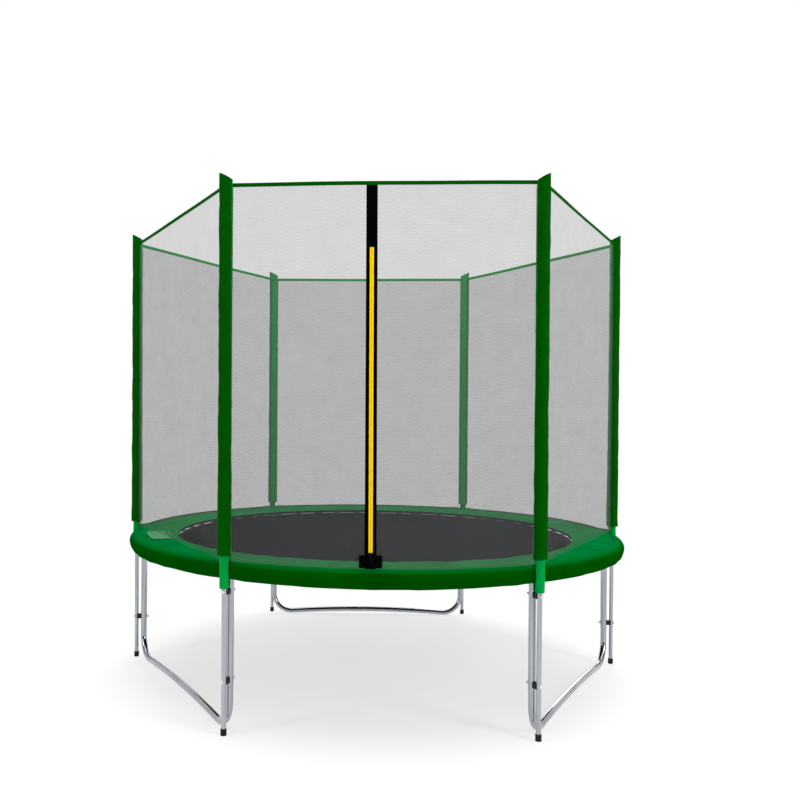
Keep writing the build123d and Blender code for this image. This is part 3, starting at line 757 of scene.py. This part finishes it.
def cover_outline(shrink, notch, spacing=0.0045):
    """The cover's edge with a scoop at each pole: its points, outward directions and length so far."""
    centre_r = POLE_FOOT_R + PAD_LOW * math.tan(POLE_LEAN)
    radius = PAD_OUTER - shrink
    angles = np.radians(np.arange(0, STEP, 0.02))
    angles = np.minimum(angles, math.radians(STEP) - angles)
    inside = notch ** 2 - (centre_r * np.sin(angles)) ** 2
    line_r = np.where(inside > 0,
                      np.minimum(radius, centre_r * np.cos(angles) - np.sqrt(np.maximum(inside, 0))), radius)
    sweep = np.radians(np.arange(0, STEP, 0.02))
    sector = np.stack([line_r * np.cos(sweep), line_r * np.sin(sweep), 0 * sweep], -1)
    whole = np.concatenate([turned(sector, STEP * k) for k in range(STATIONS)])
    closed = np.vstack([whole, whole[:1]])
    length = np.concatenate([[0], np.cumsum(np.linalg.norm(np.diff(closed, axis=0), axis=1))])
    count = int(round(length[-1] / spacing / STATIONS)) * STATIONS
    where = np.arange(count) * length[-1] / count
    line = np.stack([np.interp(where, length, closed[:, k]) for k in range(3)], -1)
    for _ in range(3):
        line = 0.25 * np.roll(line, 1, 0) + 0.5 * line + 0.25 * np.roll(line, -1, 0)
    ahead = np.roll(line, -1, 0) - np.roll(line, 1, 0)
    out = np.stack([ahead[:, 1], -ahead[:, 0], 0 * ahead[:, 0]], -1)
    out /= np.linalg.norm(out, axis=1)[:, None]
    return line, out, np.append(where, length[-1])


def beside_pole(angle):
    """Distance along the cover's edge to the nearest pole."""
    return np.abs((np.degrees(angle) + STEP / 2) % STEP - STEP / 2) / DEGREES_IN_RADIAN * PAD_OUTER


def shoulder_reach(distance):
    """How far in the rounded shoulder begins: the full reach, or less beside a pole."""
    return SHOULDER * (0.22 + 0.78 * smooth(distance, 0.03, 0.11))


def shoulder_height(inwards, reach):
    """Height of the rounded shoulder so far in from the cover's edge."""
    t = np.clip((reach - inwards) / reach, 0, 1)
    return WIDEST_Z + (SHOULDER_Z - WIDEST_Z) * np.sqrt(1 - t ** 2)


def frame_pad():
    piece = Piece()
    inset = 0.012
    line, _, s = cover_outline(inset, NOTCH_R + inset)
    angle = np.arctan2(line[:, 1], line[:, 0])
    radius = np.hypot(line[:, 0], line[:, 1])
    inner = np.stack([PAD_INNER * np.cos(angle), PAD_INNER * np.sin(angle), 0 * angle], -1)
    middle = (PAD_LOW + PAD_HIGH) / 2
    half = (PAD_HIGH - PAD_LOW) / 2 - 0.0014
    width = float(radius.max() - PAD_INNER)
    bend = np.linspace(0, math.pi, 9)
    across = []
    for k in bend:                                     # round inner edge, bottom to top
        across.append((half * (1 - math.sin(k)) * 0.9, middle - half * math.cos(k)))
    for t in np.linspace(0.06, 0.94, 26):
        across.append((width * t, middle + half + 0.0012 * math.sin(math.pi * t)))
    for k in bend[::-1]:
        across.append((width - half * (1 - math.sin(k)) * 0.9, middle - half * math.cos(k)))
    for t in (0.85, 0.6, 0.4, 0.15):
        across.append((width * t, PAD_LOW + 0.0016))
    across = np.array(across)
    share = across[:, 0] / width
    flat = inner[:, None, :] + (line - inner)[:, None, :] * share[None, :, None]
    x, y = flat[..., 0], flat[..., 1]
    round_way = np.unwrap(angle)[:, None] * 1.13
    top = smooth(across[:, 1], middle - 0.001, middle + half)[None, :]
    soft = smooth(share, 0.02, 0.14) * (1 - smooth(share, 0.86, 0.98))
    edges = np.exp(-((share - 0.06) / 0.07) ** 2) + 0.8 * np.exp(-((share - 0.92) / 0.08) ** 2)
    beside = beside_pole(angle)
    seam = beside[:, None]
    lift = (0.0022 * ripple(x, y, 0.17, 7) + 0.0011 * ripple(x, y, 0.06, 8) - 0.0014) * soft[None, :]
    lift = lift + 0.0009 * edges[None, :] * ripple(round_way + 0 * x, share[None, :] * 0.08, 0.045, 9)
    gather = 0.0006 * np.exp(-(seam / 0.03) ** 2) * (1 + np.sin(round_way * 140) * 0.3)
    lift = lift - 0.0012 * np.exp(-(seam / 0.0045) ** 2) - gather
    z = across[None, :, 1] + np.minimum(lift, 0.0008) * top
    from_edge = inset + (radius[:, None] - PAD_INNER) * (1 - share[None, :])
    under_skirt = shoulder_height(from_edge, shoulder_reach(beside)[:, None]) - 0.0030
    z = np.minimum(z, np.maximum(under_skirt, PAD_LOW + 0.001 + 0 * z))
    z = z - 0.0115 * (1 - smooth(share, 0.02, 0.18))[None, :]
    pull = 0.0012 * ripple(round_way + 0 * x, 0 * x, 0.11, 10) * (1 - smooth(share, 0.0, 0.1))[None, :]
    points = flat + (line / radius[:, None])[:, None, :] * pull[..., None]
    points[..., 2] = z
    girth = np.append(np.cumsum(np.concatenate([[0], np.linalg.norm(np.diff(across, axis=0), axis=1)])), 0.55)
    piece.grid(points, s, girth, closed_u=True, closed_v=True, flip=True)
    order = np.arange(len(across))
    # The inner wall's lower part and the underside take the black backing, which is partly painted shade under
    # the inner lip.
    is_backing_and_painted_shade = (order < 6) | (order >= len(across) - 5)
    piece.kinds = np.tile(np.where(is_backing_and_painted_shade, 1, 0), len(line)).tolist()
    made = piece.make("frame_cover_pad", [VINYL, BACKING_AND_PAINTED_SHADE], sharp=80)
    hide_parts("frame_pad")


frame_pad()


def pad_skirt():
    """Outer edge of the cover: a rounded shoulder and a hanging edge that tucks in under the pad."""
    piece = Piece()
    line, out, s = cover_outline(0.0, NOTCH_R)
    angle = np.unwrap(np.arctan2(line[:, 1], line[:, 0]))
    beside = beside_pole(angle)
    free = smooth(beside, 0.03, 0.10)
    reach = shoulder_reach(beside)[:, None]
    bend = np.linspace(0, math.pi / 2, 13)[None, :]
    tuck = np.linspace(0, 1, 9)[None, 1:]
    thick = 0.0016
    hem_edge = 0.012
    in_top = -reach * (1 - np.sin(bend))
    z_top = WIDEST_Z + (SHOULDER_Z - WIDEST_Z) * np.cos(bend) + 0 * reach
    in_side = -TUCK * tuck ** 2 * (0.3 + 0.7 * free[:, None])
    z_side = WIDEST_Z + (SKIRT_LOW + 0.0006 - WIDEST_Z) * tuck + 0 * reach
    fold = 0.0007 * smooth(-z_side, -(SKIRT_LOW + hem_edge + 0.001), -(SKIRT_LOW + hem_edge - 0.001))
    face_in = np.hstack([in_top, in_side + fold])
    face_z = np.hstack([z_top, z_side])
    upwards, sideways = (np.cos(bend) + 0 * reach)[:, ::-1], (np.sin(bend) + 0 * reach)[:, ::-1]
    back_z = face_z[:, ::-1] - thick * np.hstack([np.zeros_like(in_side), upwards])
    back_in = face_in[:, ::-1] - thick * np.hstack([np.ones_like(in_side), sideways])
    back_z = np.maximum(back_z, SKIRT_LOW + 0.0014)
    across_in = np.hstack([face_in, back_in])
    across_z = np.hstack([face_z, back_z])
    hang = smooth(-across_z, -(SHOULDER_Z - 0.012), -(SKIRT_LOW + 0.004))
    around = angle * PAD_OUTER
    wave = ripple(around, 0 * angle, 0.16, 21) * 0.0020 + ripple(around, 0 * angle, 0.06, 22) * 0.0007
    push = (wave[:, None] - 0.0016) * hang * free[:, None]
    drop = 0.0010 * ripple(around, 0 * angle, 0.30, 23)[:, None] * hang * free[:, None]
    points = line[:, None, :] + out[:, None, :] * (across_in + push)[..., None]
    front = np.clip(-np.sin(angle), 0, 1) ** 3
    points[..., 2] = across_z + np.abs(drop) - FRONT_DROP * front[:, None] * hang * free[:, None]
    across = np.stack([across_in[0], across_z[0]], -1)
    girth = np.append(np.cumsum(np.concatenate([[0], np.linalg.norm(np.diff(across, axis=0), axis=1)])), 0.18)
    piece.grid(points, s, girth, closed_u=True, closed_v=True)
    made = piece.make("cover_skirt", [SKIRT_VINYL_PAINTED_SHADE], sharp=70)
    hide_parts("pad_skirt")
    thread = Piece()
    hem, shoulder_row = points[::2, 19], points[::2, 1]
    stitch_row(thread, hem, out[::2], 0.006, 0.003, closed=True)
    stitch_row(thread, shoulder_row, np.tile([0.0, 0.0, 1.0], (len(hem), 1)), 0.006, 0.003, closed=True)
    stitches = thread.make("cover_stitches", [THREAD])


pad_skirt()


def blank_patch():
    """Plain pale patch on the cover, left of the entrance, with a narrow one beside it."""
    piece = Piece()
    for a0, a1, r0, r1 in ((192.3, 206.5, 1.075, 1.168), (192.4, 207.4, 1.058, 1.066)):
        a, r = np.radians(np.linspace(a0, a1, 14)), np.linspace(r0, r1, 12)
        x, y = r[None, :] * np.cos(a)[:, None], r[None, :] * np.sin(a)[:, None]
        points = np.stack([x, y, 0 * x + PAD_HIGH + 0.0010], -1)
        piece.grid(points, np.append(a * 1.13, 0), np.append(r, 0), flip=True)
    piece.make("blank_label", [PATCH])


blank_patch()


def cover_ties():
    """Webbing loops under the cover, round the frame tube."""
    piece = Piece()
    width, thick = 0.020, 0.0013
    around = np.arange(40) * 2 * math.pi / 40
    base = RAIL_R + 0.0012
    shape = base + 0.0012 * np.maximum(0, np.sin(around)) ** 6
    for number in range(STATIONS):
        for side in (15, 45):
            rings = []
            for x, lift in ((-1, 0.0), (-0.9, thick), (0.9, thick), (1, 0.0)):
                r = shape + lift
                rings.append(np.stack([FRAME_R + r * np.cos(around), 0 * r + x * width / 2,
                                       FRAME_Z + r * np.sin(around)], -1))
            rings = turned(np.array(rings), number * STEP + side)
            piece.grid(rings, [0, 0.001, 0.019, 0.020, 0.021], np.append(around, 2 * math.pi) * base,
                       closed_u=True, closed_v=True)
    made = piece.make("cover_tie_loops", [TIE], sharp=50)
    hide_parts("pad_ties")


cover_ties()


# ---------------------------------------------------------------- zip
def zip_place(x, z, out):
    """A point beside the zip: x across, z up, out from the net's outer surface."""
    x, z, out = np.broadcast_arrays(x, z, out)
    base = net_out(np.full(x.shape, ZIP_X), z)
    return np.stack([ZIP_X + x, -(base + out), z], -1)


def zip_tape():
    piece = Piece()
    z = np.linspace(NET_LOW, float(hem_height(ENTRANCE, ZIP_X)) - 0.004, 140)
    half = TAPE_WIDTH / 2
    across = [(-half, -0.0012), (-half, -0.0003), (-half + 0.0012, 0.0), (-half + 0.004, 0.0001),
              (-0.008, -0.0001), (0.008, -0.0001),
              (half - 0.004, 0.0001), (half - 0.0012, 0.0), (half, -0.0003), (half, -0.0012),
              (half - 0.001, -0.0022), (0.0, -0.0023),
              (-half + 0.001, -0.0022)]
    sway = 0.0005 * ripple(z, 0 * z, 0.18, 31) * smooth(z, 0.71, 0.80) * (1 - smooth(z, 2.1, 2.19))
    rings = np.array([zip_place(x, z, out + sway * (abs(x) > 0.010)) for x, out in across])
    u = np.cumsum([0] + [math.dist(across[k], across[(k + 1) % len(across)]) for k in range(len(across))])
    piece.grid(rings, u, z.tolist() + [0], closed_u=True, flip=True)
    made = piece.make("zip_backing", [TAPE], sharp=60)
    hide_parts("zip_tape")
    thread = Piece()
    for side in (-1, 1):
        line = zip_place(np.full(z.shape, side * (half - 0.0032)), z, 0.0001)
        stitch_row(thread, line, np.tile([0.0, -1.0, 0.0], (len(z), 1)), 0.0045, 0.002)
    stitches = thread.make("zip_stitches", [BLACK_THREAD])


zip_tape()


def zip_coil():
    piece = Piece()
    half = TEETH_WIDTH / 2
    z = np.linspace(TEETH_FROM, TEETH_TO, 200)
    across = [(-half, 0.0002), (-half, 0.0008), (-half + 0.0008, 0.0012), (-0.003, 0.0012), (0.003, 0.0012),
              (half - 0.0008, 0.0012),
              (half, 0.0008), (half, 0.0002)]
    rings = np.array([zip_place(x, z, out) for x, out in across])
    piece.grid(rings, np.cumsum([0] + [math.dist(across[k], across[k + 1]) for k in range(7)] + [0.001]),
               z.tolist() + [0])
    pitch = 0.0024
    count = int((TEETH_TO - TEETH_FROM) / pitch)
    zz = TEETH_FROM + np.arange(count * 4) * pitch / 4
    arc = np.linspace(0, math.pi, 8)
    ridge = []
    for a in arc:
        notch = np.where(np.arange(count * 4) % 4 < 2, 1.0, 0.72)
        ridge.append(zip_place(-math.cos(a) * 0.0027, zz, 0.0011 + 0.0011 * math.sin(a) * notch))
    piece.grid(np.array(ridge), np.append(arc * 0.0027, 0.01), zz.tolist() + [0], kind=1)
    made = piece.make("zip_yellow", [YELLOW, COIL], sharp=50, weld=0)
    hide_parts("zip_teeth")


zip_coil()


def entrance_flap():
    """Sewn cover over the zip's lower end, with turned-in edges."""
    piece = Piece()
    half_w, half_h, corner = FLAP_WIDTH / 2, (FLAP_TO - FLAP_FROM) / 2, 0.003
    centre_z = (FLAP_TO + FLAP_FROM) / 2

    def ring(inset, out, bulge=0.0):
        pts = []
        for qx, qz, a0 in ((1, 1, 0), (-1, 1, 90), (-1, -1, 180), (1, -1, 270)):
            for k in range(5):
                a = math.radians(a0 + 90 * k / 4)
                r = max(corner - inset, 0.0005)
                pts.append((qx * (half_w - inset - r) + r * math.cos(a),
                            centre_z + qz * (half_h - inset - r) + r * math.sin(a)))
            end = pts[-1]
            nxt = {(1, 1): (-1, 1), (-1, 1): (-1, -1), (-1, -1): (1, -1), (1, -1): (1, 1)}[(qx, qz)]
            a = math.radians(a0 + 90)
            r = max(corner - inset, 0.0005)
            target = (nxt[0] * (half_w - inset - r) + r * math.cos(a),
                      centre_z + nxt[1] * (half_h - inset - r) + r * math.sin(a))
            for k in range(1, 12):
                t = k / 12
                pts.append((end[0] + (target[0] - end[0]) * t, end[1] + (target[1] - end[1]) * t))
        pts = np.array(pts)
        return zip_place(pts[:, 0], pts[:, 1], out + bulge)

    levels = [(0.0006, 0.0014), (0.0, 0.0022), (0.0, 0.0064), (0.0008, 0.0074), (0.0020, 0.0077),
              (0.0060, 0.0076), (0.0072, 0.0070),
              (0.0084, 0.0072), (0.0150, 0.0074), (0.0205, 0.0075)]
    rings = np.array([ring(inset, out) for inset, out in levels])
    n = rings.shape[1]
    piece.grid(rings, np.arange(len(levels) + 1) * 0.003, np.arange(n + 1) * 0.004, closed_v=True, flip=True)
    piece.disc(rings[-1])
    stitch_row(piece, ring(0.0045, 0.0076), np.tile([0.0, -1.0, 0.0], (n, 1)), 0.004, 0.002, kind=1,
               closed=True)
    made = piece.make("zip_end_flap", [FLAP, BLACK_THREAD], sharp=50)
    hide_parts("entrance_flap")


entrance_flap()


# ---------------------------------------------------------------- mat, rings and springs, in sectors
def sector_angles():
    return [(k + 0.5) * 360 / SECTORS for k in range(SECTORS)]


def hold_between(piece):
    """Bakes the piece's placement into its mesh."""
    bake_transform(piece)


def mat_sector(number, angle):
    piece = Piece()
    half = 180 / SECTORS
    spread = np.radians(np.linspace(angle - half, angle + half, 9))
    radii = np.concatenate([[0.0005], np.linspace(0.06, 0.90, 22), [0.93, 0.96, MAT_R + 0.006]])
    x, y = radii[:, None] * np.cos(spread), radii[:, None] * np.sin(spread)
    points = np.stack([x, y, 0 * x + MAT_Z], -1)
    start = len(piece.faces)
    piece.grid(points, np.append(radii, 0), np.append(spread, 0))
    flat_uv = []
    for face in piece.faces[start:]:
        for index in face:
            p = points.reshape(-1, 3)[index]
            flat_uv.append((p[0], p[1]))
    piece.uvs[-len(flat_uv):] = flat_uv
    upper = [(MAT_R + 0.0006, 0.0016), (MAT_R + 0.0012, BAND_THICK / 2), (BAND_R - 0.004, BAND_THICK / 2),
             (BAND_R - 0.0012, 0.0020)]
    band = upper + [(BAND_R, 0.0)] + [(r, -z) for r, z in upper[::-1]]
    rings = np.array([np.stack([r * np.cos(spread), r * np.sin(spread), 0 * spread + MAT_Z + z], -1)
                      for r, z in band])
    piece.grid(rings, np.arange(10) * 0.006, np.append(spread, 0) * BAND_R, closed_u=True, kind=1, flip=True)
    for r in (MAT_R + 0.004, BAND_R - 0.007):
        line = np.stack([r * np.cos(spread), r * np.sin(spread), 0 * spread + MAT_Z + BAND_THICK / 2], -1)
        stitch_row(piece, line, np.tile([0.0, 0.0, 1.0], (len(spread), 1)), 0.005, 0.0025, kind=2)
    pitch = 360 / SECTORS / SPRINGS_PER_SECTOR
    for side in (-0.5, 0.5):
        direction = angle + side * pitch
        wrap = RING_WIRE + 0.0008
        over = [(BAND_R - 0.016, BAND_THICK / 2 + 0.0002), (BAND_R - 0.001, BAND_THICK / 2 + 0.0003),
                (RING_BAR_R - 0.001, wrap + 0.0003), (RING_BAR_R + wrap * 0.75, wrap * 0.70)]
        loop = np.array(over + [(RING_BAR_R + wrap + 0.0004, 0.0)] + [(x, -z) for x, z in over[::-1]])
        ahead = np.gradient(loop, axis=0)
        normal = np.stack([-ahead[:, 1], ahead[:, 0]], -1)
        normal /= np.linalg.norm(normal, axis=1)[:, None]
        thick = 0.0011
        outer = loop + normal * thick
        section = np.concatenate([outer, loop[::-1]])
        width = 0.0215
        cross = []
        for yy in (-0.5, -0.47, 0.47, 0.5):
            shrink = 0.8 if abs(yy) == 0.5 else 1.0
            centre = (np.concatenate([outer, loop[::-1]]) + np.concatenate([loop, outer[::-1]])) / 2
            ring = centre + (section - centre) * shrink
            cross.append(np.stack([ring[:, 0], 0 * ring[:, 0] + yy * width, MAT_Z + ring[:, 1]], -1))
        cross = turned(np.array(cross), direction)
        piece.grid(cross, [0, 0.001, 0.022, 0.023, 0.024], np.arange(len(section) + 1) * 0.004,
                   closed_v=True, kind=1)
        box = [[BAND_R - inwards, across, MAT_Z + BAND_THICK / 2 + 0.0014]
               for inwards in (0.014, 0.004) for across in (-0.008, 0.008)]
        box_line = turned(np.array(box), direction)
        stitch_row(piece, box_line, np.tile([0.0, 0.0, 1.0], (4, 1)), 0.004, 0.0015, kind=2)
    made = piece.make(f"mat_part_{number:02d}", [MAT_CLOTH, WEBBING, MAT_THREAD], body=None,
                      sharp=50)
    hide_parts("jump_mat", "mat_edge_band", "mat_loops")
    hold_between(made)


def spring_sector(number, angle):
    piece = Piece()
    pitch = 360 / SECTORS / SPRINGS_PER_SECTOR
    wire = HOOK_WIRE
    for side in (-0.5, 0.5):
        direction = angle + side * pitch
        corners = [(RING_BAR_R, -0.021), (RING_TIP_R, -0.006), (RING_TIP_R, 0.006), (RING_BAR_R, 0.021)]
        ring = []
        for k, corner in enumerate(corners):
            before, after = np.array(corners[k - 1]), np.array(corners[(k + 1) % 4])
            corner = np.array(corner)
            d0, d1 = before - corner, after - corner
            d0, d1 = d0 / np.linalg.norm(d0), d1 / np.linalg.norm(d1)
            for t in np.linspace(0, 1, 6):
                q0, q1 = corner + d0 * 0.005, corner + d1 * 0.005
                p = (1 - t) ** 2 * q0 + 2 * t * (1 - t) * corner + t ** 2 * q1
                ring.append([p[0], p[1], MAT_Z])
        ring = turned(np.array(ring), direction)
        piece.tube(np.vstack([ring, ring[:1]]), RING_WIRE, 7, caps=False)
        turns, per_turn = 34, 10
        coil_r = COIL_R - wire
        t = np.linspace(0, 1, turns * per_turn + 1)
        phase = 2 * math.pi * turns * t
        coil = np.stack([COIL_FROM + 0.002 + (COIL_TO - COIL_FROM - 0.004) * t, coil_r * np.sin(phase),
                         COIL_Z + coil_r * np.cos(phase)], -1)
        reach = RING_WIRE + wire + 0.0006
        bow = np.linspace(0, math.pi, 9)
        hook_in = [[RING_TIP_R - reach * math.sin(b), 0, MAT_Z - reach * math.cos(b)] for b in bow]
        hook_in += [[RING_TIP_R + 0.006, 0, MAT_Z + reach], [COIL_FROM - 0.003, 0.0, COIL_Z + coil_r * 0.75]]
        hook_out = [[COIL_TO + 0.004, 0.001, COIL_Z + coil_r * 0.98], [COIL_TO + 0.012, 0, HOOK_Z],
                    [HOOK_HOLE_R - 0.004, 0, HOOK_Z],
                    [HOOK_HOLE_R - 0.0012, 0, HOOK_Z - 0.0012], [HOOK_HOLE_R, 0, HOOK_Z - 0.004],
                    [HOOK_HOLE_R, 0, HOOK_Z - 0.012]]
        path = np.vstack([np.array(hook_in), coil, np.array(hook_out)])
        piece.tube(turned(path, direction), wire, 5)
    made = piece.make(f"spring_part_{number:02d}", [SPRING_STEEL], body=None, sharp=75)
    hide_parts("springs", "v_rings")
    hold_between(made)


for number, angle in enumerate(sector_angles(), 1):
    mat_sector(number, angle)
    spring_sector(number, angle)


# ---------------------------------------------------------------- floor, light and camera
FLOOR_SHADE_R = 0.9       # the floor takes shadows inside this
FLOOR_WHITE_R = 3.4       # and is plain white past this
FLOOR_GLOW = 0.64         # share of its own light in the middle


def floor():
    piece = Piece()
    angles = np.arange(64) * 2 * math.pi / 64
    radii = np.array([0.02, 1, 2, 3, 4.5, 7, 14])
    level = np.zeros((len(radii), len(angles)))
    points = np.stack([radii[:, None] * np.cos(angles), radii[:, None] * np.sin(angles), level], -1)
    piece.grid(points, np.append(radii, 0), np.append(angles, 0), closed_v=True)
    piece.disc(points[0])
    look = Look("studio_floor", Roughness=0.9, Specular_IOR_Level=0.1)
    look.set("Base Color",
             look.colours(look.noise(2.5, 3, 0.5), (0.90, 0.90, 0.90, 1), (0.93, 0.93, 0.93, 1)))
    glow = look.tree.nodes.new("ShaderNodeEmission")
    glow.inputs["Strength"].default_value = 1.0
    far = look.node("ShaderNodeVectorMath", output=1, inputs={0: look.place()}, operation="LENGTH")
    mixed = look.tree.nodes.new("ShaderNodeMixShader")
    fade = {0: far, 1: FLOOR_SHADE_R, 2: FLOOR_WHITE_R, 3: FLOOR_GLOW, 4: 1.0}
    look.put(mixed.inputs[0], look.node("ShaderNodeMapRange", inputs=fade, interpolation_type="SMOOTHSTEP"))
    look.put(mixed.inputs[1], look.shader.outputs[0])
    look.put(mixed.inputs[2], glow.outputs[0])
    look.put(look.tree.nodes["Material Output"].inputs[0], mixed.outputs[0])
    made = piece.make("studio_floor", [look.material], body=None)


floor()


def softbox(name, place, aim, size, power):
    data = bpy.data.lights.new(name, "AREA")
    data.shape = "RECTANGLE"
    data.size, data.size_y = size
    data.energy = power
    lamp = bpy.data.objects.new(name, data)
    bpy.context.scene.collection.objects.link(lamp)
    lamp.location = place
    away = np.array(place, float) - np.array(aim, float)
    lamp.rotation_euler = Vector(away).to_track_quat("Z", "Y").to_euler()


softbox("top", (0, 0, 6.0), (0, 0, 0), (7, 7), 520)
softbox("key", (5.0, -4.5, 3.0), (0, 0, 1.0), (1.6, 4.5), 260)
softbox("fill", (-5.5, -4.0, 2.6), (0, 0, 1.0), (1.2, 4.0), 150)
softbox("rim", (2.5, 6.5, 3.2), (0, 0, 1.0), (3.0, 3.0), 120)

world = bpy.data.worlds.new("studio")
bpy.context.scene.world = world
world.use_nodes = True
tree = world.node_tree
back = tree.nodes["Background"]
back.inputs["Color"].default_value = (0.97, 0.98, 1.0, 1)
direction = tree.nodes.new("ShaderNodeTexCoord")
split = tree.nodes.new("ShaderNodeSeparateXYZ")
tree.links.new(direction.outputs["Generated"], split.inputs[0])
shade = tree.nodes.new("ShaderNodeMapRange")
shade.interpolation_type = "SMOOTHSTEP"
for socket, value in zip(("From Min", "From Max", "To Min", "To Max"), (-0.75, 0.9, 0.07, 1.0)):
    shade.inputs[socket].default_value = value
tree.links.new(split.outputs["Y"], shade.inputs["Value"])
tree.links.new(shade.outputs[0], back.inputs["Strength"])
seen = tree.nodes.new("ShaderNodeBackground")
seen.inputs["Color"].default_value = (1, 1, 1, 1)
path = tree.nodes.new("ShaderNodeLightPath")
join = tree.nodes.new("ShaderNodeMixShader")
tree.links.new(path.outputs["Is Camera Ray"], join.inputs[0])
tree.links.new(back.outputs[0], join.inputs[1])
tree.links.new(seen.outputs[0], join.inputs[2])
tree.links.new(join.outputs[0], tree.nodes["World Output"].inputs[0])

scene = bpy.context.scene
scene.view_settings.view_transform = "Standard"

YAW, PITCH, ROLL = 0.0266, -0.0092, -0.0079
CAMERA_X, CAMERA_Y, CAMERA_Z = -0.144, -4.388, 1.258
camera_data = bpy.data.cameras.new("camera")
camera = bpy.data.objects.new("camera", camera_data)
scene.collection.objects.link(camera)
camera_data.sensor_width = 36
camera_data.lens = 37.23
camera_data.shift_x = 0.0946
camera_data.shift_y = 0.0169
turn = Matrix.Rotation(YAW, 3, "Z") @ Matrix.Rotation(-PITCH, 3, "X") @ Matrix.Rotation(ROLL, 3, "Y")
right, forward, up = turn.col[0], turn.col[1], turn.col[2]
camera.matrix_world = Matrix((
    (right[0], up[0], -forward[0], CAMERA_X),
    (right[1], up[1], -forward[1], CAMERA_Y),
    (right[2], up[2], -forward[2], CAMERA_Z),
    (0, 0, 0, 1)))
scene.camera = camera
